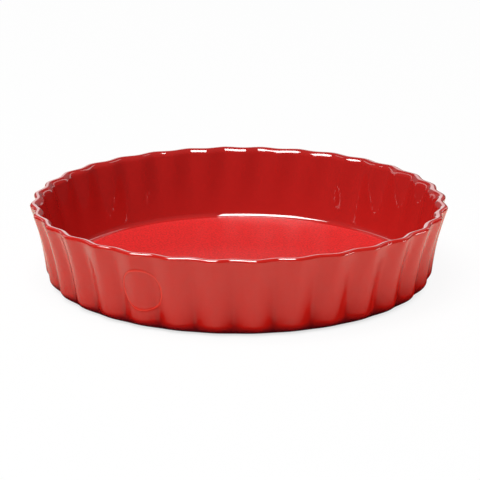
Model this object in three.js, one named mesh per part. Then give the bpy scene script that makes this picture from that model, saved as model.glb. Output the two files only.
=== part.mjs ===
// A round fluted pie dish of glazed stoneware, in millimetres, +Z up.
// The origin is the middle of the foot, on the table. The front of the dish faces -Y.
// One pressed clay body carries three coats of glaze. Only its foot ring is left bare.
import * as THREE from 'three';
import { mergeGeometries } from 'three/addons/utils/BufferGeometryUtils.js';

// Overall sizes, over the finished glaze
const rim_diameter = 280; // across opposite flute crests
const dish_height = 53.8; // table to the top of the rim
const rim_outer_radius = 1.8; // round from the crest of the rim to the outside wall
const rim_inner_radius = 5; // round from the crest of the rim to the inside wall

// Flutes
const flute_count = 32;
const rim_flute_depth = 2.6; // crest to groove at the rim
const rim_groove_softness = 0.55; // width of the rounded groove at the rim, in half flutes
const rim_crest_roundness = 1.6; // power of the curve from groove to crest at the rim
const base_flute_depth = 4.3; // crest to groove where the wall meets the base corner
const base_groove_softness = 0.28; // width of the rounded groove there, in half flutes
const base_crest_roundness = 1.9; // power of the curve from groove to crest there
const flute_runout = 2; // power by which they run out round the base corner
const inside_flute_foot = 10; // height where the inside flutes run out

// Outside wall
const wall_bow = 1.4; // how far it is drawn in half way up, so that it flares to the rim

// Base and foot ring
const base_flat_diameter = 243.4; // where the base corner leaves the flat
const base_corner_radius = 8.6;
const foot_height = 0.7; // table to the glazed flat beside the foot
const foot_inset = 2.8; // base corner to the outer edge of the foot
const foot_width = 9.5;
const foot_slope_width = 2; // run of the slope inside the foot
const underside_height = 1.1; // table to the glaze inside the foot

// Inside
const floor_height = 6.5; // table to the glazed floor
const floor_inset = 5.9; // base corner to the edge of the flat floor
const floor_fillet_radius = 4.7;

// Glaze
const glaze_thickness = 0.5;

// Fineness of the facets
const steps_per_flute = 6;
const base_corner_steps = 3;
const outside_wall_steps = 3;
const rim_outer_steps = 2;
const rim_inner_steps = 3;
const inside_wall_steps = 3;
const fillet_steps = 2;

// Colours
const glaze_colour = '#c4161c';
const clay_colour = '#d8c3a5';
const glaze_roughness = 0.12;
const clay_roughness = 0.9;

// Worked out from the sizes above
const steps_around = flute_count * steps_per_flute;
const crest_radius = rim_diameter / 2 - rim_outer_radius;
const base_flat_radius = base_flat_diameter / 2;
const floor_flat_radius = base_flat_radius - floor_inset;
const foot_outer_radius = base_flat_radius - foot_inset;
const foot_inner_radius = foot_outer_radius - foot_width;
const underside_clay_height = underside_height + glaze_thickness;
const underside_clay_radius = foot_inner_radius - foot_slope_width;
const underside_glaze_radius =
  foot_inner_radius - foot_slope_width * underside_height / underside_clay_height;

// Shapes of a flute at the two ends of the outside wall, where one changes evenly into the other
const rim_flute = { softness: rim_groove_softness, roundness: rim_crest_roundness };
const base_flute = { softness: base_groove_softness, roundness: base_crest_roundness };

// Centres of the rounds that the wall runs between
const rim_outer_centre = new THREE.Vector2(crest_radius, dish_height - rim_outer_radius);
const rim_inner_centre = new THREE.Vector2(crest_radius, dish_height - rim_inner_radius);
const corner_centre = new THREE.Vector2(base_flat_radius, foot_height + base_corner_radius);
const fillet_centre = new THREE.Vector2(floor_flat_radius, floor_height + floor_fillet_radius);

// Directions square to the wall, outside and inside, where it touches those rounds
const down = -Math.PI / 2;
const up = Math.PI / 2;
const outer_reach = base_corner_radius - rim_outer_radius;
const inner_reach = -floor_fillet_radius - rim_inner_radius;
const outward = tangent_direction(corner_centre, rim_outer_centre, outer_reach, -1);
const inward = tangent_direction(fillet_centre, rim_inner_centre, inner_reach, 1);

// Direction of the normal of a straight line that touches two rounds.
// The rounds differ by reach along that normal, and side picks one of the two such lines.
function tangent_direction(from, to, reach, side) {
  const span = new THREE.Vector2().subVectors(to, from);
  return span.angle() + side * Math.acos(reach / span.length());
}

// One point of a profile, with the depth and shape that the flutes have there
function profile_point(radius, height, depth = 0, flute = rim_flute) {
  return { radius, height, depth, flute };
}

// Points along an arc, with depth_at giving the flute depth from the share of the way along it
function arc(centre, radius, start, end, steps, depth_at, flute) {
  const points = [];
  for (let step = 0; step <= steps; step += 1) {
    const share = step / steps;
    const turn = start + (end - start) * share;
    const r = centre.x + radius * Math.cos(turn);
    const z = centre.y + radius * Math.sin(turn);
    points.push(profile_point(r, z, depth_at(share), flute));
  }
  return points;
}

// Shape of a flute part of the way up the outside wall
function wall_flute(share) {
  return {
    softness: THREE.MathUtils.lerp(base_flute.softness, rim_flute.softness, share),
    roundness: THREE.MathUtils.lerp(base_flute.roundness, rim_flute.roundness, share),
  };
}

// Depth of the inside flutes at a height, run out smoothly towards the floor
function inside_depth(height) {
  return rim_flute_depth * THREE.MathUtils.smoothstep(height, inside_flute_foot, dish_height);
}

// Points between the two ends of the outside wall
function outside_wall(bottom, top) {
  const points = [];
  for (let step = 1; step < outside_wall_steps; step += 1) {
    const share = step / outside_wall_steps;
    const bow = wall_bow * Math.sin(share * Math.PI);
    const r = THREE.MathUtils.lerp(bottom.radius, top.radius, share) - bow;
    const z = THREE.MathUtils.lerp(bottom.height, top.height, share);
    const depth = THREE.MathUtils.lerp(bottom.depth, top.depth, share);
    points.push(profile_point(r, z, depth, wall_flute(share)));
  }
  return points;
}

// Points between the two ends of the inside wall
function inside_wall(top, bottom) {
  const points = [];
  for (let step = 1; step < inside_wall_steps; step += 1) {
    const share = step / inside_wall_steps;
    const r = THREE.MathUtils.lerp(top.radius, bottom.radius, share);
    const z = THREE.MathUtils.lerp(top.height, bottom.height, share);
    points.push(profile_point(r, z, inside_depth(z)));
  }
  return points;
}

// The crest of the rim, where the two coats of glaze meet
function crest(inset) {
  return profile_point(crest_radius, dish_height - inset, rim_flute_depth, rim_flute);
}

// One side of the rim, from a wall's direction up to the crest but without it
function rim_side(centre, radius, direction, steps) {
  return arc(centre, radius, direction, up, steps, () => rim_flute_depth, rim_flute).slice(0, -1);
}

// The outside of the dish, from the foot up to the crest of the rim, set in by a depth of glaze
function outside_profile(inset) {
  const foot = profile_point(foot_outer_radius, foot_height + inset);
  const corner_radius = base_corner_radius - inset;
  const depth_at = (share) => base_flute_depth * Math.sin(share * up) ** flute_runout;
  const corner = arc(corner_centre, corner_radius, down, outward, base_corner_steps, depth_at, base_flute);
  const rim = rim_side(rim_outer_centre, rim_outer_radius - inset, outward, rim_outer_steps);
  const wall = outside_wall(corner.at(-1), rim[0]);
  return [foot, ...corner, ...wall, ...rim, crest(inset)];
}

// The inside of the dish, from the crest of the rim down to the middle of the floor
function inside_profile(inset) {
  const fillet_radius = floor_fillet_radius + inset;
  const rim = rim_side(rim_inner_centre, rim_inner_radius - inset, inward, rim_inner_steps).reverse();
  const fillet = arc(fillet_centre, fillet_radius, inward - Math.PI, down, fillet_steps, () => 0);
  const wall = inside_wall(rim.at(-1), fillet[0]);
  return [crest(inset), ...rim, ...wall, ...fillet, profile_point(0, floor_height - inset)];
}

// Share of the flute depth at an angle: 1 in a groove and 0 on a crest. A crest faces -Y.
function flute_share(angle, flute) {
  const half_flutes = (angle * flute_count) / Math.PI;
  const from_groove = Math.abs(THREE.MathUtils.euclideanModulo(half_flutes, 2) - 1);
  const rounded = (x) => Math.hypot(x, flute.softness) - flute.softness;
  return (1 - rounded(from_groove) / rounded(1)) ** flute.roundness;
}

// A profile turned about the upright axis, with each point drawn in at the grooves.
// A sheet that faces the other way keeps its vertices, so two pieces that meet share them.
function sheet(profile, faces_back) {
  const outline = profile.map((point) => new THREE.Vector2(point.radius, point.height));
  const turned = new THREE.LatheGeometry(outline, steps_around);
  const place = turned.attributes.position;
  for (let i = 0; i < place.count; i += 1) {
    const point = profile[i % profile.length];
    const angle = Math.floor(i / profile.length) * ((2 * Math.PI) / steps_around);
    const radius = point.radius - point.depth * flute_share(angle, point.flute);
    place.setXYZ(i, radius * Math.sin(angle), point.height, radius * Math.cos(angle));
  }
  if (faces_back) {
    turned.setIndex(Array.from(turned.index.array).reverse());
  }
  turned.rotateX(up);
  turned.computeVertexNormals();
  return turned;
}

// A closed piece made of sheets that meet along their edges
function piece(name, material, sheets) {
  const mesh = new THREE.Mesh(mergeGeometries(sheets), material);
  mesh.name = name;
  return mesh;
}

function glaze_material() {
  return new THREE.MeshStandardMaterial({
    color: glaze_colour,
    roughness: glaze_roughness,
    metalness: 0,
  });
}

function clay_material() {
  return new THREE.MeshStandardMaterial({
    color: clay_colour,
    roughness: clay_roughness,
    metalness: 0,
  });
}

// Glazed surfaces, and the clay under them
const outside_skin = outside_profile(0);
const outside_clay = outside_profile(glaze_thickness);
const inside_skin = inside_profile(0);
const inside_clay = inside_profile(glaze_thickness);

// Edge where the two coats meet on the crest of the rim, and where the outside coat ends at the foot
const crest_edge = [outside_clay.at(-1), outside_skin.at(-1)];
const foot_edge = [outside_skin[0], outside_clay[0]];

// Bare foot ring, from the underside of the dish out to the edge of the outside glaze
const underside_clay = [
  profile_point(0, underside_clay_height),
  profile_point(underside_clay_radius, underside_clay_height),
];
const underside_edge = [underside_clay[1], profile_point(underside_glaze_radius, underside_height)];
const foot_ring = [
  underside_edge[1],
  profile_point(foot_inner_radius, 0),
  profile_point(foot_outer_radius, 0),
  outside_skin[0],
];
const underside_skin = [profile_point(0, underside_height), underside_edge[1]];

const clay_body = piece('clay_body', clay_material(), [
  sheet(underside_clay, false),
  sheet(underside_edge, false),
  sheet(foot_ring, false),
  sheet(foot_edge, false),
  sheet(outside_clay, false),
  sheet(inside_clay, false),
]);

const inside_glaze = piece('inside_glaze', glaze_material(), [
  sheet(inside_skin, false),
  sheet(inside_clay, true),
  sheet(crest_edge, false),
]);

const outside_glaze = piece('outside_glaze', glaze_material(), [
  sheet(outside_skin, false),
  sheet(outside_clay, true),
  sheet(crest_edge, true),
  sheet(foot_edge, true),
]);

const underside_glaze = piece('underside_glaze', glaze_material(), [
  sheet(underside_skin, false),
  sheet(underside_clay, true),
  sheet(underside_edge, true),
]);

const pie_dish = new THREE.Group();
pie_dish.name = 'pie_dish';
pie_dish.add(clay_body, inside_glaze, outside_glaze, underside_glaze);

export default pie_dish;
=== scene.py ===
"""The looks of a round fluted pie dish of glazed stoneware, made around its solids.

Metres, +Z up. The origin is the middle of the foot, on the table. The front of the dish faces -Y.
"""
import math
from collections import namedtuple

import bmesh
import bpy
import numpy as np
from bpy.props import FloatProperty, FloatVectorProperty, IntProperty, PointerProperty
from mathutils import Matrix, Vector


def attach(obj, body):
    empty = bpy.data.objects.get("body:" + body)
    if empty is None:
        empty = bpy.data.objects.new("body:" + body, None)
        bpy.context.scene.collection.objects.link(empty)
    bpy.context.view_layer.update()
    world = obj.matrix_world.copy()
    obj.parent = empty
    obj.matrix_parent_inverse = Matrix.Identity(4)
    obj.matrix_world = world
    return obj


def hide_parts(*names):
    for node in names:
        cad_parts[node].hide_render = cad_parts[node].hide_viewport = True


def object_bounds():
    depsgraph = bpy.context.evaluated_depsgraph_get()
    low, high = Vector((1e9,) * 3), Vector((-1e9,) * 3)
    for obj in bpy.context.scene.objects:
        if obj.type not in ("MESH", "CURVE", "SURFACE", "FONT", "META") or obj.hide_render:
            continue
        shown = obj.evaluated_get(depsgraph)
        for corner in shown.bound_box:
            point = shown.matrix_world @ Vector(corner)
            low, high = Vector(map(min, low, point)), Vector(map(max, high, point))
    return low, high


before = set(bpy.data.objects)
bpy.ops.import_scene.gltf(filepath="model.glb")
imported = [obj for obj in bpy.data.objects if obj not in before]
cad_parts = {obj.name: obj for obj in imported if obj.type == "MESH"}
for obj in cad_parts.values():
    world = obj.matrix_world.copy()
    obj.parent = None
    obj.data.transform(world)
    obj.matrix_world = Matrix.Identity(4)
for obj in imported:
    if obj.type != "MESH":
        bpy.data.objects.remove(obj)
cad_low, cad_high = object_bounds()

bl_info = {
    "name": "Fluted Pie Dish",
    "version": (1, 0, 0),
    "blender": (4, 5, 0),
    "location": "3D View > Sidebar > Pie Dish",
    "description": "Makes a fluted pie dish of glazed stoneware, and the studio that it is shown in",
    "category": "Add Mesh",
}

BODY = "root"

# Fineness of the glazed surfaces
STEPS_PER_FLUTE = 24
STEPS_BY_PAD = 72
CORNER_STEPS = 20
WALL_STEPS = 90
RIM_STEPS = 24
INSIDE_WALL_STEPS = 30
FILLET_STEPS = 24
FLOOR_STEPS = 10

# Fineness of the clay, which is hidden apart from its foot
CLAY_CORNER_STEPS = 6
CLAY_WALL_STEPS = 4
CLAY_RIM_STEPS = 8
CLAY_INSIDE_WALL_STEPS = 8
CLAY_FILLET_STEPS = 6
CLAY_FLOOR_STEPS = 2
FOOT_EDGE_STEPS = 4

# Flutes to each side of the pad's middle that are as fine as the pad
FLUTES_BY_PAD = 2

# Sides of the studio's round floor
FLOOR_SIDES = 96

# Painted shade, a darker glaze colour where shade falls low on the base corner and in its grooves:
# parts of the way round the base corner where it starts to thin out and where it would end, its
# power and strength in the grooves there, and its power up the wall
SHADE_START = 0.45
SHADE_END = 1.1
GROOVE_SHADE_POWER = 6
GROOVE_SHADE = 1 / 3
WALL_SHADE_POWER = 5

# Where the bright film of glaze lies: part of the way from a wall to the rim's crest where it is
# full, and parts of the way down the fillet where it is full and where it starts to fade
RIM_FILM_FULL = 0.5
FILLET_FILM_FULL = 0.25
FILLET_FILM_FADE = 0.6

# Where the floor's specks lie, which also paint the floor lighter as painted light: parts of the way
# down the fillet where they start and are full
SPECKLE_START = 0.75
SPECKLE_FULL = 0.95

# Power by which the sag of the fired dish grows towards the rim
SAG_POWER = 2

# Textures of the glaze, with scales in spots to the metre
MOTTLE_SCALE = 350.0
MOTTLE_DETAIL = 4.0
MOTTLE_ROUGHNESS = 0.65
MOTTLE_RANGE = (0.42, 0.72)
MOTTLE_ROUGHER = 0.03  # most that it adds to the roughness of the glaze
PEEL_SCALE = 110.0
PEEL_DETAIL = 1.0
SPECK_SCALE = 800.0
SPECK_COVERAGE = 0.6
SPECK_SOFTNESS = 0.16
SPECK_DETAIL = 2.0
SPECK_ROUGHNESS = 0.6

# Textures of the bare clay, with scales in spots to the metre
CLOUD_SCALE = 160.0
CLOUD_DETAIL = 4.0
CLOUD_SHADE = 0.8  # brightness of the clay where it is clouded, as a share
GRAIN_SCALE = 1900.0
GRAIN_DETAIL = 2.0
GRAIN_ROUGHER = 0.15  # most that it adds to the roughness of the clay
FLECK_SCALE = 1300.0
FLECK_COVERAGE = 0.33
FLECK_SOFTNESS = 0.12

# Roughness of a noise whose finer detail fades at the usual rate
PLAIN_NOISE = 0.5

# Sockets of a Mix node, for numbers and for colours
MIX_FACTOR = 0
MIX_NUMBERS = (2, 3)
MIX_NUMBER = 0
MIX_COLOURS = (6, 7)
MIX_COLOUR = 2

WHITE = (1.0, 1.0, 1.0, 1.0)
BLACK = (0.0, 0.0, 0.0, 1.0)

# Slow waves round the dish that a pressed and fired piece keeps: turns and phase of each
SWAY_WAVES = ((3, 0.4), (7, 2.1), (11, 4.0), (17, 5.2))
SAG_WAVES = ((2, 1.3), (5, 0.2), (9, 3.4), (13, 5.9))
DEPTH_WAVES = ((4, 2.7), (9, 0.9), (15, 4.4), (23, 1.8))

FULL_TURN = 2 * math.pi
HALF_TURN = math.pi
QUARTER_TURN = math.pi / 2
DOWN = -QUARTER_TURN
UP = QUARTER_TURN

Fineness = namedtuple("Fineness", "corner wall rim inside_wall fillet floor")
SKIN = Fineness(CORNER_STEPS, WALL_STEPS, RIM_STEPS, INSIDE_WALL_STEPS, FILLET_STEPS, FLOOR_STEPS)
CLAY = Fineness(
    CLAY_CORNER_STEPS,
    CLAY_WALL_STEPS,
    CLAY_RIM_STEPS,
    CLAY_INSIDE_WALL_STEPS,
    CLAY_FILLET_STEPS,
    CLAY_FLOOR_STEPS,
)

# One turn of points round the upright axis: radius and height at each angle, the shares of painted
# shade, of thin glaze, of specks (which also paint the floor lighter, as painted light) and of the
# bright film of glaze there, and whether it is a sharp edge
Ring = namedtuple("Ring", "radius height pool thin speckle gloss sharp")
SHARES = ("pool", "thin", "speckle", "gloss")


def length(name, description, default):
    """A size in metres."""
    return FloatProperty(
        name=name, description=description, default=default, min=0, precision=5, unit="LENGTH"
    )


def number(name, description, default):
    """A plain number."""
    return FloatProperty(name=name, description=description, default=default, min=0, precision=4)


def power(name, description, default):
    """A power in watts."""
    return FloatProperty(name=name, description=description, default=default, min=0, unit="POWER")


def angle(name, description, default):
    """An angle, given in degrees."""
    return FloatProperty(
        name=name, description=description, default=math.radians(default), subtype="ANGLE"
    )


def colour(name, description, default):
    """A linear colour."""
    return FloatVectorProperty(
        name=name, description=description, default=default, size=3, min=0, max=1, subtype="COLOR"
    )


class DishSizes(bpy.types.PropertyGroup):
    """Sizes of the dish over its finished glaze."""

    rim_diameter: length("Rim diameter", "Across opposite flute crests", cad_high.x - cad_low.x)
    dish_height: length("Height", "Table to the top of the rim", cad_high.z)
    rim_outer_radius: length("Rim outer round", "Radius from the rim's crest to the outside wall", 0.0018)
    rim_inner_radius: length("Rim inner round", "Radius from the rim's crest to the inside wall", 0.005)
    flute_count: IntProperty(name="Flutes", description="Flutes round the wall", default=32, min=8)
    rim_flute_depth: length("Rim flute depth", "Crest to groove at the rim", 0.0026)
    rim_softness: number("Rim groove softness", "Width of the groove at the rim, in half flutes", 0.55)
    rim_roundness: number("Rim crest roundness", "Power of the curve of a flute at the rim", 1.6)
    base_flute_depth: length("Base flute depth", "Crest to groove above the base corner", 0.0043)
    base_softness: number("Base groove softness", "Width of the groove at the base, in half flutes", 0.2)
    base_roundness: number("Base crest roundness", "Power of the curve of a flute at the base", 1.9)
    crease_power: number("Crease power", "Power by which the crease softens towards the rim", 3)
    flute_runout: number("Flute run-out", "Power by which flutes run out round the base corner", 2)
    inside_flute_foot: length("Inside flute foot", "Height where the inside flutes run out", 0.01)
    base_flat_diameter: length("Base flat", "Across the flat that the base corner leaves", 0.2434)
    base_corner_radius: length("Base corner", "Radius of the base corner", 0.0086)
    foot_height: length("Foot height", "Table to the glazed flat beside the foot", 0.0007)
    foot_inset: length("Foot inset", "Base corner to the outer edge of the foot", 0.0028)
    foot_width: length("Foot width", "Width of the bare foot ring", 0.0095)
    foot_edge_radius: length("Foot edge", "Radius of the worn edges of the foot", 0.0003)
    foot_slope_width: length("Foot slope", "Run of the slope inside the foot", 0.002)
    underside_height: length("Underside", "Table to the glaze inside the foot", 0.0011)
    floor_height: length("Floor height", "Table to the glazed floor", 0.0065)
    floor_inset: length("Floor inset", "Base corner to the edge of the flat floor", 0.0059)
    floor_fillet_radius: length("Floor fillet", "Radius between floor and inside wall", 0.0047)
    glaze_thickness: length("Glaze thickness", "Thickness of each coat", 0.0005)
    wall_bow: length("Wall bow", "How far the outside wall is drawn in half way up", 0.0014)
    pad_width: length("Pad width", "Across the plain oval pad on the wall", 0.0295)
    pad_height: length("Pad height", "Up the plain oval pad on the wall", 0.03)
    pad_lift: length("Pad lift", "How far the pad stands proud of the wall", 0.0002)
    bead_lift: length("Bead lift", "How far the bead round the pad stands proud of it", 0.0006)
    bead_width: length("Bead width", "Width of the bead round the pad", 0.0022)
    pad_level: length("Pad level", "Height of the middle of the pad", 0.0278)
    pad_angle: angle("Pad angle", "Angle of the pad round the dish from its front", -32)
    sway: length("Flute sway", "Most that a groove strays sideways", 0.0003)
    sag: length("Rim sag", "Most that the rim strays up or down", 0.0002)
    depth_play: number("Depth play", "Most that a flute's depth strays, as a share", 0.06)


class DishFinish(bpy.types.PropertyGroup):
    """Colours and finish of the glaze and the bare clay."""

    outside_colour: colour("Outside glaze", "The red glaze on the outside", (0.72, 0.0135, 0.008))
    # Painted shade: the inside is given a darker red than the outside glaze, standing in for the shade that
    # falls inside the dish
    inside_shaded_colour: colour("Inside glaze", "The deeper red glaze inside", (0.56, 0.019, 0.016))
    # Painted shade: the near-black red laid where shade falls at the foot of the dish and in its grooves
    pooled_colour: colour("Painted shade glaze", "The glaze where it has run together", (0.11, 0.007, 0.011))
    thin_colour: colour("Thin glaze", "The glaze where it breaks over a raised edge", (0.98, 0.045, 0.025))
    pale_colour: colour("Pale specks", "The paler specks in the glaze", (0.86, 0.023, 0.024))
    clay_colour: colour("Clay", "The bare fired clay", (0.69, 0.55, 0.38))
    fleck_colour: colour("Clay flecks", "Iron flecks in the bare clay", (0.2, 0.11, 0.06))
    glaze_ior: number("Glaze IOR", "Refractive index of the glaze", 1.56)
    film_ior: number("Film IOR", "Refractive index of the bright film on the rim and the fillet", 2.0)
    glaze_roughness: number("Glaze roughness", "Least roughness of the glaze", 0.02)
    speckled_roughness: number("Speckled roughness", "How much rougher the speckled floor is", 0.4)
    inside_mottle: number("Inside mottle", "Strength of the pale mottle inside", 0.08)
    outside_mottle: number("Outside mottle", "Strength of the pale mottle outside", 0.06)
    underside_mottle: number("Underside mottle", "Strength of the pale mottle underneath", 0.2)
    # Partly real specks and partly painted light: at this strength they paint the floor, which faces the
    # lamp, lighter than the inside wall
    floor_specks_and_light: number("Floor specks", "Strength of the pale specks on the floor", 0.9)
    clay_roughness: number("Clay roughness", "Least roughness of the bare clay", 0.8)
    peel_height: length("Orange peel", "Height of the faint waves in the glaze", 0.000012)
    grain_height: length("Clay grain", "Height of the grain of the bare clay", 0.00006)


class StudioSettings(bpy.types.PropertyGroup):
    """The camera, the lights and the plain surroundings."""

    camera_turn: angle("Camera turn", "Angle of the camera round the dish from its front", -4.3)
    camera_rise: angle("Camera rise", "Angle of the camera above the table", 17.8)
    camera_distance: length("Camera distance", "Camera to the middle of the foot", 1.614)
    camera_lens: number("Lens", "Focal length in millimetres on a 36 mm frame", 178.55)
    aim_right: length("Aim right", "How far right of the origin the camera aims", 0.00064)
    aim_up: length("Aim up", "How far above the origin the camera aims", 0.0238)
    floor_radius: length("Floor radius", "Radius of the pale floor", 9)
    floor_colour: colour("Floor", "The pale floor", (0.93, 0.93, 0.93))
    floor_lift: number("Floor lift", "Share of plain white in the floor away from the dish", 0.93)
    lift_start: length("Lift start", "Distance from the axis where the plain white begins", 0.108)
    lift_end: length("Lift end", "Distance from the axis where the plain white is full", 0.13)
    under_radius: length("Under radius", "Radius of the floor that lights the underside", 0.118)
    under_light: number("Under light", "Brightness of that part of the floor, as the dish receives it", 0.6)
    sweep_colour: colour("Sweep", "The warm strip of floor that the dish mirrors", (0.9, 0.855, 0.71))
    sweep_width: length("Sweep width", "Width of that strip, left to right", 0.56)
    sweep_softness: length("Sweep softness", "Width of its soft edges", 0.1)
    shadow_start: length("Shadow start", "Distance where the mirrored shadow of the dish is deepest", 0.136)
    shadow_end: length("Shadow end", "Distance where the mirrored shadow of the dish ends", 0.165)
    shadow_shift: length("Shadow shift", "How far to the right that shadow falls", 0.0055)
    shadow_power: number("Shadow power", "Power of the change from that shadow to the pale floor", 0.4)
    lamp_width: length("Lamp width", "Left to right", 2.95)
    lamp_depth: length("Lamp depth", "Front to back", 2.7)
    lamp_place: FloatVectorProperty(
        name="Lamp place",
        description="Middle of the overhead soft box",
        default=(-1.03, -0.8, 4),
        subtype="TRANSLATION",
        unit="LENGTH",
    )
    lamp_power: power("Lamp power", "Power of the soft box", 203)
    card_width: length("Card width", "Width of the low pale card at the right", 0.3)
    card_height: length("Card height", "Height of that card, which stands on the floor", 0.05)
    card_turn: angle("Card turn", "Angle of that card round the dish from its front", 78)
    card_distance: length("Card distance", "Axis of the dish to that card", 0.74)
    card_power: power("Card power", "Light that the card gives back", 0.75)
    room_light: number("Room light", "Strength of the light from the pale room", 0.07)
    screen_top: angle("Screen top", "Height of the pale screen that the glaze mirrors", 28)
    screen_span: angle("Screen span", "Half of the angle that its bright middle takes up", 6)
    screen_light: number("Screen light", "Brightness of the middle of the screen", 1.0)
    screen_sides: number("Screen sides", "Brightness of the screen beside its middle", 0.14)
    strip_turn: angle("Strip turn", "Angle of the bright strips at the screen's two ends", 44)
    strip_width: angle("Strip width", "Width of each strip", 6)
    strip_top: angle("Strip top", "Height of the strips, as the glaze mirrors them", 50)
    screen_softness: angle("Screen softness", "Width of the screen's soft edges", 3)
    dark_room: number("Dark room", "Brightness of the rest of the room, as the glaze mirrors it", 0.04)


def waves(angles, turns_and_phases):
    """A slow wave round the dish, between -1 and 1."""
    parts = [np.sin(turns * angles + phase) for turns, phase in turns_and_phases]
    return sum(parts) / len(parts)


def smoothstep(value, start, end):
    """0 before start, 1 after end and a soft S between them."""
    part = np.clip((value - start) / (end - start), 0, 1)
    return part * part * (3 - 2 * part)


def part_way(first, last, part):
    """The value part of the way from one to another."""
    return first + (last - first) * part


def wrapped(turn):
    """An angle taken to less than half a turn either way."""
    return (turn + HALF_TURN) % FULL_TURN - HALF_TURN


def arc_point(centre, radius, turn):
    """Distance from the axis and height of the point that lies in a direction on a round."""
    return centre.x + radius * math.cos(turn), centre.y + radius * math.sin(turn)


def tangent_direction(start, end, reach, side):
    """Direction of the normal of a straight line that touches two rounds.

    The rounds differ by reach along that normal, and side picks one of the two such lines.
    """
    span = end - start
    return math.atan2(span.y, span.x) + side * math.acos(reach / span.length)


class DishForm:
    """The rings that the pieces of the dish are turned from, worked out from its sizes."""

    def __init__(self, sizes):
        self.sizes = sizes
        self.angles = self.spaced_angles()
        crest_radius = sizes.rim_diameter / 2 - sizes.rim_outer_radius
        base_flat_radius = sizes.base_flat_diameter / 2
        self.floor_flat_radius = base_flat_radius - sizes.floor_inset
        self.foot_outer_radius = base_flat_radius - sizes.foot_inset
        self.foot_inner_radius = self.foot_outer_radius - sizes.foot_width
        self.underside_clay_height = sizes.underside_height + sizes.glaze_thickness
        self.underside_clay_radius = self.foot_inner_radius - sizes.foot_slope_width
        slope_share = sizes.underside_height / self.underside_clay_height
        self.underside_glaze_radius = self.foot_inner_radius - sizes.foot_slope_width * slope_share

        self.rim_outer_centre = Vector((crest_radius, sizes.dish_height - sizes.rim_outer_radius))
        self.rim_inner_centre = Vector((crest_radius, sizes.dish_height - sizes.rim_inner_radius))
        self.corner_centre = Vector((base_flat_radius, sizes.foot_height + sizes.base_corner_radius))
        self.fillet_centre = Vector(
            (self.floor_flat_radius, sizes.floor_height + sizes.floor_fillet_radius)
        )
        outer_reach = sizes.base_corner_radius - sizes.rim_outer_radius
        inner_reach = -sizes.floor_fillet_radius - sizes.rim_inner_radius
        self.outward = tangent_direction(self.corner_centre, self.rim_outer_centre, outer_reach, -1)
        self.inward = tangent_direction(self.fillet_centre, self.rim_inner_centre, inner_reach, 1)
        self.base_groove = self.wall_groove(0)
        self.base_cut = self.wall_cut(0)
        self.rim_cut = self.wall_cut(1)

    def spaced_angles(self):
        """Angles round the dish, even in each flute and closer together by the pad."""
        flute = FULL_TURN / self.sizes.flute_count
        spaced = []
        for index in range(self.sizes.flute_count):
            from_pad = wrapped((index + 0.5) * flute - self.sizes.pad_angle)
            by_pad = abs(from_pad) < FLUTES_BY_PAD * flute
            steps = STEPS_BY_PAD if by_pad else STEPS_PER_FLUTE
            spaced.append((index + np.arange(steps) / steps) * flute)
        return np.concatenate(spaced)

    def groove(self, softness, roundness):
        """Share of the flute depth at each angle: 1 in a groove and 0 on a crest. A crest faces -Y."""
        sway = self.sizes.sway / self.sizes.rim_diameter * 2 * waves(self.angles, SWAY_WAVES)
        half_flutes = (self.angles + sway) * self.sizes.flute_count / HALF_TURN
        from_groove = np.abs(half_flutes % 2 - 1)
        rounded = np.hypot(from_groove, softness) - softness
        return (1 - rounded / (math.hypot(1, softness) - softness)) ** roundness

    def wall_groove(self, part):
        """Share of the flute depth at each angle, part of the way up the outside wall."""
        sizes = self.sizes
        softened = part ** sizes.crease_power
        softness = part_way(sizes.base_softness, sizes.rim_softness, softened)
        roundness = part_way(sizes.base_roundness, sizes.rim_roundness, softened)
        return self.groove(softness, roundness)

    def wall_cut(self, part):
        """Depth of the flutes at each angle, part of the way up the outside wall."""
        sizes = self.sizes
        depth = part_way(sizes.base_flute_depth, sizes.rim_flute_depth, part)
        play = 1 + sizes.depth_play * waves(self.angles, DEPTH_WAVES)
        return depth * self.wall_groove(part) * play

    def ring(self, radius, height, cut=0, pool=0, thin=0, speckle=0, gloss=0, sharp=False):
        """A ring whose radius is drawn in by a cut at each angle."""
        zero = np.zeros_like(self.angles)
        parts = (radius - cut, height, pool, thin, speckle, gloss)
        return Ring(*(zero + part for part in parts), sharp)

    def between(self, first, last, steps):
        """Rings on the straight lines between two rings, without those two."""
        rings = []
        for step in range(1, steps):
            part = step / steps
            values = [part_way(a, b, part) for a, b in zip(first[:-1], last[:-1])]
            rings.append(Ring(*values, False))
        return rings

    def rim_side(self, centre, arc_radius, end, steps):
        """Rings of one side of the rim, from its crest round to a direction, finest beside the crest."""
        rings = []
        for step in range(steps + 1):
            turn = part_way(UP, end, 1 - math.cos(QUARTER_TURN * step / steps))
            radius, height = arc_point(centre, arc_radius, turn)
            gloss = smoothstep((turn - end) / (UP - end), 0, RIM_FILM_FULL)
            rings.append(self.ring(radius, height, self.rim_cut, gloss=gloss, sharp=step == 0))
        return rings

    def base_corner(self, inset, steps):
        """Rings of the base corner, from the flat by the foot up to the wall."""
        rings = []
        corner_radius = self.sizes.base_corner_radius - inset
        for step in range(steps + 1):
            part = step / steps
            turn = part_way(DOWN, self.outward, part)
            radius, height = arc_point(self.corner_centre, corner_radius, turn)
            runout = math.sin(part * QUARTER_TURN) ** self.sizes.flute_runout
            # Painted shade, darker towards the table and in the grooves low on the corner
            groove_shade = GROOVE_SHADE * (self.base_groove * runout) ** GROOVE_SHADE_POWER
            pool = groove_shade + 1 - smoothstep(part, SHADE_START, SHADE_END)
            rings.append(self.ring(radius, height, self.base_cut * runout, np.minimum(pool, 1)))
        return rings

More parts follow.
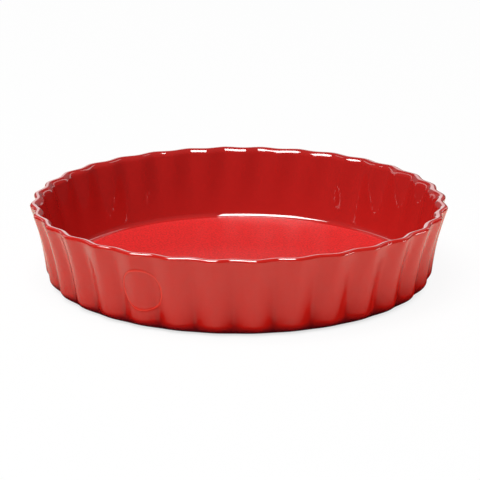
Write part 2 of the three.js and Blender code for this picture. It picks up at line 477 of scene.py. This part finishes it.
    def outside_wall(self, bottom, top, steps):
        """Rings of the outside wall, drawn in half way up so that it flares to the rim."""
        rings = []
        uncut_bottom = bottom._replace(radius=bottom.radius + self.base_cut)
        uncut_top = top._replace(radius=top.radius + self.rim_cut)
        for step, ring in enumerate(self.between(uncut_bottom, uncut_top, steps), 1):
            part = step / steps
            bow = self.sizes.wall_bow * math.sin(part * HALF_TURN)
            # The painted shade fades out up the wall
            pool = ring.pool * (1 - part) ** WALL_SHADE_POWER
            rings.append(ring._replace(radius=ring.radius - bow - self.wall_cut(part), pool=pool))
        return rings

    def outside(self, inset, fineness):
        """The outside of the dish, from the foot up to the crest of the rim."""
        foot = self.ring(self.foot_outer_radius, self.sizes.foot_height + inset, sharp=True)
        corner = self.base_corner(inset, fineness.corner)
        rim_radius = self.sizes.rim_outer_radius - inset
        rim = self.rim_side(self.rim_outer_centre, rim_radius, self.outward, fineness.rim)[::-1]
        wall = self.outside_wall(corner[-1], rim[0], fineness.wall)
        return [foot, *corner, *wall, *rim]

    def inside_wall(self, top, bottom, steps):
        """Rings of the inside wall, whose flutes run out towards the floor."""
        rings = []
        for ring in self.between(top, bottom, steps):
            left = smoothstep(ring.height, self.sizes.inside_flute_foot, top.height)
            rings.append(ring._replace(radius=ring.radius - self.rim_cut * left))
        return rings

    def floor_fillet(self, inset, steps):
        """Rings of the fillet between the inside wall and the floor."""
        rings = []
        fillet_radius = self.sizes.floor_fillet_radius + inset
        start = self.inward - HALF_TURN
        for step in range(steps + 1):
            part = step / steps
            turn = part_way(start, DOWN, part)
            radius, height = arc_point(self.fillet_centre, fillet_radius, turn)
            gloss = smoothstep(part, 0, FILLET_FILM_FULL) * (1 - smoothstep(part, FILLET_FILM_FADE, 1))
            speckle = smoothstep(part, SPECKLE_START, SPECKLE_FULL)
            rings.append(self.ring(radius, height, speckle=speckle, gloss=gloss))
        return rings

    def inside(self, inset, fineness):
        """The inside of the dish, from the crest of the rim down to the middle of the floor."""
        rim_radius = self.sizes.rim_inner_radius - inset
        rim = self.rim_side(self.rim_inner_centre, rim_radius, self.inward, fineness.rim)
        uncut = rim[-1]._replace(radius=rim[-1].radius + self.rim_cut)
        fillet = self.floor_fillet(inset, fineness.fillet)
        wall = self.inside_wall(uncut, fillet[0], fineness.inside_wall)
        middle = self.pole(self.sizes.floor_height - inset, speckle=1)
        floor = self.between(fillet[-1], middle, fineness.floor)
        return [*rim, *wall, *fillet, *floor, middle]

    def foot_edge(self, radius, side):
        """Rings of a worn edge of the foot, from its flank at a radius to the table, to one side."""
        rings = []
        worn = self.sizes.foot_edge_radius
        for step in range(FOOT_EDGE_STEPS + 1):
            turn = QUARTER_TURN * step / FOOT_EDGE_STEPS
            inwards = worn * (1 - math.cos(turn))
            rings.append(self.ring(radius + side * inwards, worn * (1 - math.sin(turn))))
        return rings

    def pole(self, height, speckle=0):
        """A point on the upright axis."""
        return self.ring(0, height, speckle=speckle)

    def with_pad(self, rings):
        """The rings of the outside wall, raised by a plain oval pad with a bead round it."""
        sizes = self.sizes
        raised = []
        turn = wrapped(self.angles - sizes.pad_angle)
        half_width = sizes.pad_width / 2
        half_height = sizes.pad_height / 2
        half_size = (half_width + half_height) / 2
        for ring in rings:
            across = turn * ring.radius / half_width
            along = (ring.height - sizes.pad_level) / half_height
            from_edge = (1 - np.hypot(across, along)) * half_size
            bead = smoothstep(1 - np.abs(2 * from_edge / sizes.bead_width - 1), 0, 1)
            pad = smoothstep(from_edge, 0, sizes.bead_width)
            lift = sizes.pad_lift * pad + sizes.bead_lift * bead
            raised.append(ring._replace(radius=ring.radius + lift, thin=bead))
        return raised

    def settled(self, ring):
        """A ring with the slow sag that the fired dish has, which grows towards the rim."""
        sag = self.sizes.sag * waves(self.angles, SAG_WAVES)
        grown = np.clip(ring.height / self.sizes.dish_height, 0, 1) ** SAG_POWER
        return ring._replace(height=ring.height + sag * grown)

    def mesh(self, name, rings):
        """A closed mesh of rings, which run from pole to pole or make a loop."""
        rings = [self.settled(ring) for ring in rings]
        is_pole = [not ring.radius.any() for ring in rings]
        points = []
        shares = {share_name: [] for share_name in SHARES}
        first = []
        sharp = []
        for ring, pole in zip(rings, is_pole):
            first.append(len(points))
            kept = slice(0, 1) if pole else slice(None)
            x = (ring.radius * np.sin(self.angles))[kept]
            y = (-ring.radius * np.cos(self.angles))[kept]
            points.extend(zip(x, y, ring.height[kept]))
            for share_name in SHARES:
                shares[share_name].extend(getattr(ring, share_name)[kept])
            sharp.extend([ring.sharp] * len(x))
        mesh = bpy.data.meshes.new(name)
        mesh.from_pydata(points, [], self.faces(first, is_pole))
        mesh.shade_smooth()
        self.mark_edges(mesh, first, sharp)
        for share_name, values in shares.items():
            attribute = mesh.attributes.new(share_name, "FLOAT", "POINT")
            attribute.data.foreach_set("value", np.array(values, np.float32))
        return mesh

    def faces(self, first, is_pole):
        """The faces between each ring and the next, and from the last to the first in a loop."""
        around = len(self.angles)
        pairs = list(zip(range(len(first) - 1), range(1, len(first))))
        if not is_pole[0]:
            pairs.append((len(first) - 1, 0))
        faces = []
        for low, high in pairs:
            below = first[low]
            above = first[high]
            for here in range(around):
                beside = (here + 1) % around
                if is_pole[low]:
                    faces.append((below, above + beside, above + here))
                elif is_pole[high]:
                    faces.append((below + here, below + beside, above))
                else:
                    faces.append((below + here, below + beside, above + beside, above + here))
        return faces

    def mark_edges(self, mesh, first, sharp):
        """Makes the edges along the sharp rings sharp."""
        ends = np.zeros(len(mesh.edges) * 2, np.int32)
        mesh.edges.foreach_get("vertices", ends)
        ends = ends.reshape(-1, 2)
        ring_of = np.searchsorted(first, ends, side="right")
        along = (ring_of[:, 0] == ring_of[:, 1]) & np.array(sharp)[ends[:, 0]]
        edge = mesh.attributes.new("sharp_edge", "BOOLEAN", "EDGE")
        edge.data.foreach_set("value", along)


def add_node(tree, kind, values=None, **settings):
    """A new node with its settings. Each of its inputs in values is set, or linked if given a socket."""
    node = tree.nodes.new(kind)
    for name, value in settings.items():
        setattr(node, name, value)
    for name, value in (values or {}).items():
        if isinstance(value, bpy.types.NodeSocket):
            tree.links.new(value, node.inputs[name])
        else:
            node.inputs[name].default_value = value
    return node


def math_node(tree, operation, first, second=0.0, third=0.0):
    """The result of a sum on up to three values or sockets."""
    values = {0: first, 1: second, 2: third}
    return add_node(tree, "ShaderNodeMath", values, operation=operation).outputs[0]


def mixed_number(tree, factor, first, second):
    """A mix of two numbers."""
    values = {MIX_FACTOR: factor, MIX_NUMBERS[0]: first, MIX_NUMBERS[1]: second}
    return add_node(tree, "ShaderNodeMix", values).outputs[MIX_NUMBER]


def mixed_colour(tree, factor, first, second):
    """A mix of two colours."""
    values = {MIX_FACTOR: factor, MIX_COLOURS[0]: first, MIX_COLOURS[1]: second}
    return add_node(tree, "ShaderNodeMix", values, data_type="RGBA").outputs[MIX_COLOUR]


def mixed_shader(tree, factor, first, second):
    """A mix of two shaders."""
    return add_node(tree, "ShaderNodeMixShader", {0: factor, 1: first, 2: second}).outputs[0]


def shown_rays(tree):
    """Two masks: rays that show a thing directly, and those that show it in a mirror or through glass."""
    path = add_node(tree, "ShaderNodeLightPath").outputs
    mirrored = math_node(tree, "MAXIMUM", path["Is Glossy Ray"], path["Is Transmission Ray"])
    return path["Is Camera Ray"], mirrored


def mapped(tree, value, low, high, new_low=0.0, new_high=1.0, interpolation_type="LINEAR"):
    """A value taken from one range to another, and held inside it."""
    values = {"Value": value, "From Min": low, "From Max": high, "To Min": new_low, "To Max": new_high}
    node = add_node(tree, "ShaderNodeMapRange", values, interpolation_type=interpolation_type)
    return node.outputs[0]


def object_place(tree):
    """The place of a point of a surface, in metres from its object's origin."""
    return add_node(tree, "ShaderNodeTexCoord").outputs["Object"]


def noise(tree, place, scale, detail, roughness=PLAIN_NOISE):
    """A soft random value at a place."""
    values = {"Vector": place, "Scale": scale, "Detail": detail, "Roughness": roughness}
    return add_node(tree, "ShaderNodeTexNoise", values).outputs["Fac"]


def new_group(name, inputs, outputs):
    """An empty shader node group, with the sockets that it is given and those that it puts out."""
    group = bpy.data.node_groups.new(name, "ShaderNodeTree")
    for socket_name, kind, default in inputs:
        socket = group.interface.new_socket(socket_name, in_out="INPUT", socket_type=kind)
        socket.default_value = default
    for socket_name, kind in outputs:
        group.interface.new_socket(socket_name, in_out="OUTPUT", socket_type=kind)
    given = group.nodes.new("NodeGroupInput").outputs
    result = group.nodes.new("NodeGroupOutput").inputs
    return group, given, result


def specks_group():
    """Small soft specks scattered over a surface, as a mask."""
    name = "Fired Specks"
    if name in bpy.data.node_groups:
        return bpy.data.node_groups[name]
    group, given, result = new_group(
        name,
        [
            ("Scale", "NodeSocketFloat", SPECK_SCALE),
            ("Coverage", "NodeSocketFloat", SPECK_COVERAGE),
            ("Softness", "NodeSocketFloat", SPECK_SOFTNESS),
        ],
        [("Mask", "NodeSocketFloat")],
    )
    spots = noise(group, object_place(group), given["Scale"], SPECK_DETAIL, SPECK_ROUGHNESS)
    edge = math_node(group, "SUBTRACT", 1.0, given["Coverage"])
    soft_edge = math_node(group, "ADD", edge, given["Softness"])
    group.links.new(mapped(group, spots, edge, soft_edge), result["Mask"])
    return group


def add_specks(tree, scale, coverage, softness):
    """The specks, placed in a material or a group with values of its own, as a mask."""
    values = {"Scale": scale, "Coverage": coverage, "Softness": softness}
    return add_node(tree, "ShaderNodeGroup", values, node_tree=specks_group()).outputs["Mask"]


def glaze_group():
    """A glaze's look: painted shade, thin edges, mottle, specks, faint changes of gloss, orange peel."""
    name = "Glaze Flow"
    if name in bpy.data.node_groups:
        return bpy.data.node_groups[name]
    group, given, result = new_group(
        name,
        [
            ("Colour", "NodeSocketColor", WHITE),
            ("Pooled Colour", "NodeSocketColor", WHITE),
            ("Thin Colour", "NodeSocketColor", WHITE),
            ("Pale Colour", "NodeSocketColor", WHITE),
            ("Pool", "NodeSocketFloat", 0.0),
            ("Thin", "NodeSocketFloat", 0.0),
            ("Mottle Amount", "NodeSocketFloat", 0.0),
            ("Speck Amount", "NodeSocketFloat", 0.0),
            ("Roughness", "NodeSocketFloat", 0.0),
        ],
        [
            ("Colour", "NodeSocketColor"),
            ("Roughness", "NodeSocketFloat"),
            ("Height", "NodeSocketFloat"),
        ],
    )
    place = object_place(group)
    mottle = noise(group, place, MOTTLE_SCALE, MOTTLE_DETAIL, MOTTLE_ROUGHNESS)
    specks = add_specks(group, SPECK_SCALE, SPECK_COVERAGE, SPECK_SOFTNESS)
    mottle_part = math_node(
        group, "MULTIPLY", mapped(group, mottle, *MOTTLE_RANGE), given["Mottle Amount"]
    )
    speck_part = math_node(group, "MULTIPLY", specks, given["Speck Amount"])
    # Painted shade is mixed in first, where its share is high
    shaded = mixed_colour(group, given["Pool"], given["Colour"], given["Pooled Colour"])
    thinned = mixed_colour(group, given["Thin"], shaded, given["Thin Colour"])
    mottled = mixed_colour(group, mottle_part, thinned, given["Pale Colour"])
    speckled = mixed_colour(group, speck_part, mottled, given["Pale Colour"])
    roughness = math_node(group, "MULTIPLY_ADD", mottle, MOTTLE_ROUGHER, given["Roughness"])
    group.links.new(speckled, result["Colour"])
    group.links.new(roughness, result["Roughness"])
    group.links.new(noise(group, place, PEEL_SCALE, PEEL_DETAIL), result["Height"])
    return group


def new_material(name):
    """A material with only its output and a Principled shader that feeds it."""
    material = bpy.data.materials.new(name)
    material.use_nodes = True
    tree = material.node_tree
    tree.nodes.clear()
    output = tree.nodes.new("ShaderNodeOutputMaterial")
    shader = tree.nodes.new("ShaderNodeBsdfPrincipled")
    tree.links.new(shader.outputs[0], output.inputs["Surface"])
    return material, tree, shader


def opaque(colour_value):
    """A colour with its alpha."""
    return (*colour_value, 1.0)


def glaze_material(name, finish, base_colour, mottle_amount):
    """Glossy red glaze, with as much mottle as its coat shows."""
    material, tree, shader = new_material(name)
    pool, thin, speckle, gloss = (
        add_node(tree, "ShaderNodeAttribute", attribute_name=share_name).outputs["Fac"]
        for share_name in SHARES
    )
    roughness = math_node(
        tree, "MULTIPLY_ADD", speckle, finish.speckled_roughness, finish.glaze_roughness
    )
    values = {
        "Colour": opaque(base_colour),
        "Pooled Colour": opaque(finish.pooled_colour),
        "Thin Colour": opaque(finish.thin_colour),
        "Pale Colour": opaque(finish.pale_colour),
        "Pool": pool,
        "Thin": thin,
        "Mottle Amount": mottle_amount,
        # Pale specks on the floor, partly painted light that makes the floor lighter
        "Speck Amount": math_node(tree, "MULTIPLY", speckle, finish.floor_specks_and_light),
        "Roughness": roughness,
    }
    flow_and_shade = add_node(tree, "ShaderNodeGroup", values, node_tree=glaze_group()).outputs
    bump = add_node(tree, "ShaderNodeBump", {"Height": flow_and_shade["Height"], "Distance": finish.peel_height})
    tree.links.new(flow_and_shade["Colour"], shader.inputs["Base Color"])
    tree.links.new(flow_and_shade["Roughness"], shader.inputs["Roughness"])
    tree.links.new(bump.outputs["Normal"], shader.inputs["Normal"])
    tree.links.new(gloss, shader.inputs["Coat Weight"])
    shader.inputs["Coat IOR"].default_value = finish.film_ior
    shader.inputs["Coat Roughness"].default_value = finish.glaze_roughness
    shader.inputs["IOR"].default_value = finish.glaze_ior
    return material


def clay_material(finish):
    """Bare buff clay with iron flecks and a dry grain."""
    material, tree, shader = new_material("bare_buff_clay")
    place = object_place(tree)
    cloud = noise(tree, place, CLOUD_SCALE, CLOUD_DETAIL)
    grain = noise(tree, place, GRAIN_SCALE, GRAIN_DETAIL)
    flecks = add_specks(tree, FLECK_SCALE, FLECK_COVERAGE, FLECK_SOFTNESS)
    darker = opaque(CLOUD_SHADE * part for part in finish.clay_colour)
    clouded = mixed_colour(tree, cloud, opaque(finish.clay_colour), darker)
    flecked = mixed_colour(tree, flecks, clouded, opaque(finish.fleck_colour))
    roughness = math_node(tree, "MULTIPLY_ADD", grain, GRAIN_ROUGHER, finish.clay_roughness)
    bump = add_node(tree, "ShaderNodeBump", {"Height": grain, "Distance": finish.grain_height})
    tree.links.new(flecked, shader.inputs["Base Color"])
    tree.links.new(roughness, shader.inputs["Roughness"])
    tree.links.new(bump.outputs["Normal"], shader.inputs["Normal"])
    return material


def add_object(name, data):
    """A new object in the scene."""
    made = bpy.data.objects.new(name, data)
    bpy.context.scene.collection.objects.link(made)
    return made


def add_piece(name, mesh, material, node):
    """A piece of the dish that stands for one of its solids."""
    piece = add_object(name, mesh)
    mesh.materials.append(material)
    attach(piece, BODY)
    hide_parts(node)


class PIEDISH_OT_inside_coat(bpy.types.Operator):
    """Make the coat of glaze over the floor and the inside wall, up to the rim's crest"""

    bl_idname = "pie_dish.inside_coat"
    bl_label = "Inside Glaze"

    def execute(self, context):
        sizes = context.scene.pie_dish_sizes
        form = DishForm(sizes)
        skin = form.inside(0, SKIN)
        clay_side = form.inside(sizes.glaze_thickness, CLAY)[::-1]
        mesh = form.mesh("inside_glaze_coat", [*clay_side, *skin])
        finish = context.scene.pie_dish_finish
        material = glaze_material("inside_red_glaze", finish, finish.inside_shaded_colour, finish.inside_mottle)
        add_piece("inside_glaze_coat", mesh, material, "inside_glaze")
        return {"FINISHED"}


class PIEDISH_OT_outside_coat(bpy.types.Operator):
    """Make the coat of glaze from the rim's crest down the fluted wall to the foot ring"""

    bl_idname = "pie_dish.outside_coat"
    bl_label = "Outside Glaze"

    def execute(self, context):
        sizes = context.scene.pie_dish_sizes
        form = DishForm(sizes)
        skin = form.with_pad(form.outside(0, SKIN))
        clay_side = form.outside(sizes.glaze_thickness, CLAY)[::-1]
        mesh = form.mesh("outside_glaze_coat", [*skin, *clay_side])
        finish = context.scene.pie_dish_finish
        material = glaze_material("outside_red_glaze", finish, finish.outside_colour, finish.outside_mottle)
        add_piece("outside_glaze_coat", mesh, material, "outside_glaze")
        return {"FINISHED"}


class PIEDISH_OT_underside_coat(bpy.types.Operator):
    """Make the round coat of glaze inside the foot ring"""

    bl_idname = "pie_dish.underside_coat"
    bl_label = "Underside Glaze"

    def execute(self, context):
        sizes = context.scene.pie_dish_sizes
        form = DishForm(sizes)
        middle = form.pole(sizes.underside_height)
        edge = form.ring(form.underside_glaze_radius, sizes.underside_height, sharp=True)
        clay_edge = form.ring(form.underside_clay_radius, form.underside_clay_height, sharp=True)
        clay_middle = form.pole(form.underside_clay_height)
        skin = [middle, *form.between(middle, edge, FLOOR_STEPS), edge]
        mesh = form.mesh("underside_glaze_coat", [*skin, clay_edge, clay_middle])
        finish = context.scene.pie_dish_finish
        material = glaze_material(
            "underside_red_glaze", finish, finish.outside_colour, finish.underside_mottle
        )
        add_piece("underside_glaze_coat", mesh, material, "underside_glaze")
        return {"FINISHED"}


class PIEDISH_OT_clay_body(bpy.types.Operator):
    """Make the fired clay body, of which only the foot ring shows"""

    bl_idname = "pie_dish.clay_body"
    bl_label = "Clay Body"

    def execute(self, context):
        sizes = context.scene.pie_dish_sizes
        form = DishForm(sizes)
        underside = [
            form.pole(form.underside_clay_height),
            form.ring(form.underside_clay_radius, form.underside_clay_height, sharp=True),
            form.ring(form.underside_glaze_radius, sizes.underside_height),
        ]
        inner_edge = form.foot_edge(form.foot_inner_radius, 1)
        outer_edge = form.foot_edge(form.foot_outer_radius, -1)[::-1]
        glaze_end = form.ring(form.foot_outer_radius, sizes.foot_height, sharp=True)
        outside = form.outside(sizes.glaze_thickness, CLAY)
        inside = form.inside(sizes.glaze_thickness, CLAY)[1:]
        rings = [*underside, *inner_edge, *outer_edge, glaze_end, *outside, *inside]
        mesh = form.mesh("bare_clay_body", rings)
        material = clay_material(context.scene.pie_dish_finish)
        add_piece("bare_clay_body", mesh, material, "clay_body")
        return {"FINISHED"}


def mirrored_floor(tree, studio, place):
    """Colour of the floor in the glaze: a warm strip, with a painted soft shadow of the dish on it."""
    side = add_node(tree, "ShaderNodeSeparateXYZ", {0: place}).outputs["X"]
    edge = studio.sweep_width / 2
    off_strip = mapped(tree, math_node(tree, "ABSOLUTE", side), edge, edge + studio.sweep_softness)
    middle = (studio.shadow_shift, 0, 0)
    from_shadow = add_node(tree, "ShaderNodeVectorMath", {0: place, 1: middle}, operation="DISTANCE")
    # Painted shadow: the mirrored floor darkens towards the dish, a little to its right
    lit = mapped(tree, from_shadow.outputs["Value"], studio.shadow_start, studio.shadow_end)
    softened = math_node(tree, "POWER", lit, studio.shadow_power)
    shown = math_node(tree, "SUBTRACT", softened, off_strip)
    return mixed_colour(tree, shown, BLACK, opaque(studio.sweep_colour))


def plain_white(tree, studio, place, direct):
    """Share of plain white in the floor: what the camera sees past the dish, and what lights its base."""
    away = add_node(tree, "ShaderNodeVectorMath", {0: place}, operation="LENGTH").outputs["Value"]
    lift = mapped(tree, away, studio.lift_start, studio.lift_end, 0.0, studio.floor_lift, "SMOOTHSTEP")
    shown = math_node(tree, "MULTIPLY", direct, lift)
    received = add_node(tree, "ShaderNodeLightPath").outputs["Is Diffuse Ray"]
    inside_foot = math_node(tree, "LESS_THAN", away, studio.under_radius)
    under = math_node(tree, "MULTIPLY", inside_foot, studio.under_light)
    glow = math_node(tree, "MULTIPLY", received, under)
    return math_node(tree, "MAXIMUM", shown, glow)


def floor_material(studio):
    """Pale floor that keeps the shadow of the dish, and can be seen through from below."""
    material, tree, shader = new_material("pale_floor")
    shader.inputs["Roughness"].default_value = 1.0
    shader.inputs["Specular IOR Level"].default_value = 0.0
    place = object_place(tree)
    direct, mirrored = shown_rays(tree)
    mirrored_colour = mirrored_floor(tree, studio, place)
    floor_colour = mixed_colour(tree, mirrored, opaque(studio.floor_colour), mirrored_colour)
    tree.links.new(floor_colour, shader.inputs["Base Color"])
    white = add_node(tree, "ShaderNodeEmission", {"Color": WHITE, "Strength": 1.0})
    white_part = plain_white(tree, studio, place, direct)
    lifted = mixed_shader(tree, white_part, shader.outputs[0], white.outputs[0])
    clear = add_node(tree, "ShaderNodeBsdfTransparent")
    below = add_node(tree, "ShaderNodeNewGeometry").outputs["Backfacing"]
    floor = mixed_shader(tree, below, lifted, clear.outputs[0])
    output = next(node for node in tree.nodes if node.type == "OUTPUT_MATERIAL")
    tree.links.new(floor, output.inputs["Surface"])
    return material


def add_floor(studio):
    """A wide round floor at the foot of the dish."""
    made = bmesh.new()
    bmesh.ops.create_circle(made, cap_ends=True, segments=FLOOR_SIDES, radius=studio.floor_radius)
    mesh = bpy.data.meshes.new("pale_floor")
    made.to_mesh(mesh)
    made.free()
    mesh.materials.append(floor_material(studio))
    add_object("pale_floor", mesh)


def add_light(name, width, height, watts, place):
    """A rectangle that shines downwards, and that the camera doesn't see."""
    light = bpy.data.lights.new(name, "AREA")
    light.shape = "RECTANGLE"
    light.size = width
    light.size_y = height
    light.energy = watts
    lamp = add_object(name, light)
    lamp.location = place
    lamp.visible_camera = False
    return lamp


def add_lights(studio):
    """A large soft box over the dish, and a low pale card that stands at its right and faces it."""
    add_light("soft_box", studio.lamp_width, studio.lamp_depth, studio.lamp_power, studio.lamp_place)
    outwards = Vector((math.sin(studio.card_turn), -math.cos(studio.card_turn), 0))
    middle = outwards * studio.card_distance
    middle.z = studio.card_height / 2
    card = add_light("pale_card", studio.card_width, studio.card_height, studio.card_power, middle)
    card.rotation_euler = (-outwards).to_track_quat("-Z", "Y").to_euler()


def mirrored_screen(tree, studio):
    """Brightness of the room in the glaze: dark, but for a pale screen behind the dish.

    The screen is brightest in its middle and in a taller strip at each end.
    """
    direction = add_node(tree, "ShaderNodeTexCoord").outputs["Generated"]
    parts = add_node(tree, "ShaderNodeSeparateXYZ", {0: direction}).outputs
    turn = math_node(tree, "ABSOLUTE", math_node(tree, "ARCTAN2", parts["X"], parts["Y"]))
    rise = math_node(tree, "ARCSINE", parts["Z"])
    soft = studio.screen_softness
    strip_start = studio.strip_turn - studio.strip_width / 2
    strip_end = studio.strip_turn + studio.strip_width / 2
    below_top = mapped(tree, rise, studio.screen_top, studio.screen_top + soft, 1.0, 0.0)
    below_strip_top = mapped(tree, rise, studio.strip_top, studio.strip_top + soft, 1.0, 0.0)
    side_start = studio.screen_span + soft
    across = mapped(tree, turn, studio.screen_span, side_start, studio.screen_light, studio.screen_sides)
    strip_across = mapped(tree, turn, strip_start - soft, strip_start)
    screen = math_node(tree, "MULTIPLY", across, below_top)
    strip = math_node(tree, "MULTIPLY", strip_across, below_strip_top)
    within = mapped(tree, turn, strip_end, strip_end + soft, 1.0, 0.0)
    shown = math_node(tree, "MULTIPLY", math_node(tree, "MAXIMUM", screen, strip), within)
    return math_node(tree, "MAXIMUM", shown, studio.dark_room)


def add_room(scene, studio):
    """A pale room, which lights the dish faintly, shows as plain white and has a screen to mirror."""
    world = bpy.data.worlds.new("pale_room")
    world.use_nodes = True
    tree = world.node_tree
    tree.nodes.clear()
    direct, mirrored = shown_rays(tree)
    unseen = mixed_number(tree, mirrored, studio.room_light, mirrored_screen(tree, studio))
    strength = mixed_number(tree, direct, unseen, 1.0)
    values = {"Color": WHITE, "Strength": strength}
    room = add_node(tree, "ShaderNodeBackground", values).outputs[0]
    output = add_node(tree, "ShaderNodeOutputWorld", {"Surface": room})
    output.is_active_output = True
    scene.world = world


def add_camera(scene, studio):
    """A long lens from the front, a little above the rim."""
    turn = studio.camera_turn
    rise = studio.camera_rise
    back = Vector((math.sin(turn) * math.cos(rise), -math.cos(turn) * math.cos(rise), math.sin(rise)))
    right = Vector((math.cos(turn), math.sin(turn), 0))
    up = back.cross(right)
    camera = bpy.data.cameras.new("studio_camera")
    camera.lens = studio.camera_lens
    holder = add_object("studio_camera", camera)
    holder.location = back * studio.camera_distance
    aim = right * studio.aim_right + up * studio.aim_up
    holder.rotation_mode = "QUATERNION"
    holder.rotation_quaternion = (aim - holder.location).to_track_quat("-Z", "Y")
    scene.camera = holder


class PIEDISH_OT_stage(bpy.types.Operator):
    """Make the floor, the lights, the pale room and the camera"""

    bl_idname = "pie_dish.stage"
    bl_label = "Studio"

    def execute(self, context):
        studio = context.scene.pie_dish_studio
        add_floor(studio)
        add_lights(studio)
        add_room(context.scene, studio)
        add_camera(context.scene, studio)
        context.scene.view_settings.view_transform = "Standard"
        return {"FINISHED"}


OPERATORS = (
    PIEDISH_OT_stage,
    PIEDISH_OT_clay_body,
    PIEDISH_OT_inside_coat,
    PIEDISH_OT_outside_coat,
    PIEDISH_OT_underside_coat,
)


class PIEDISH_PT_sidebar(bpy.types.Panel):
    """The steps that make the dish and its studio, and their sizes and finish"""

    bl_idname = "PIEDISH_PT_sidebar"
    bl_label = "Fluted Pie Dish"
    bl_space_type = "VIEW_3D"
    bl_region_type = "UI"
    bl_category = "Pie Dish"

    def draw(self, context):
        for operator in OPERATORS:
            self.layout.operator(operator.bl_idname)
        for settings in (
            context.scene.pie_dish_sizes,
            context.scene.pie_dish_finish,
            context.scene.pie_dish_studio,
        ):
            column = self.layout.column()
            for name in settings.__annotations__:
                column.prop(settings, name)


CLASSES = (DishSizes, DishFinish, StudioSettings, *OPERATORS, PIEDISH_PT_sidebar)


def register():
    """Registers the classes, and gives each scene the settings of the dish and its studio."""
    for made_class in CLASSES:
        bpy.utils.register_class(made_class)
    bpy.types.Scene.pie_dish_sizes = PointerProperty(type=DishSizes)
    bpy.types.Scene.pie_dish_finish = PointerProperty(type=DishFinish)
    bpy.types.Scene.pie_dish_studio = PointerProperty(type=StudioSettings)


def unregister():
    """Takes the settings and the classes away again."""
    del bpy.types.Scene.pie_dish_studio
    del bpy.types.Scene.pie_dish_finish
    del bpy.types.Scene.pie_dish_sizes
    for made_class in reversed(CLASSES):
        bpy.utils.unregister_class(made_class)


def main():
    """Makes the studio and the dish."""
    register()
    bpy.ops.pie_dish.stage()
    bpy.ops.pie_dish.clay_body()
    bpy.ops.pie_dish.inside_coat()
    bpy.ops.pie_dish.outside_coat()
    bpy.ops.pie_dish.underside_coat()


if __name__ == "__main__":
    main()
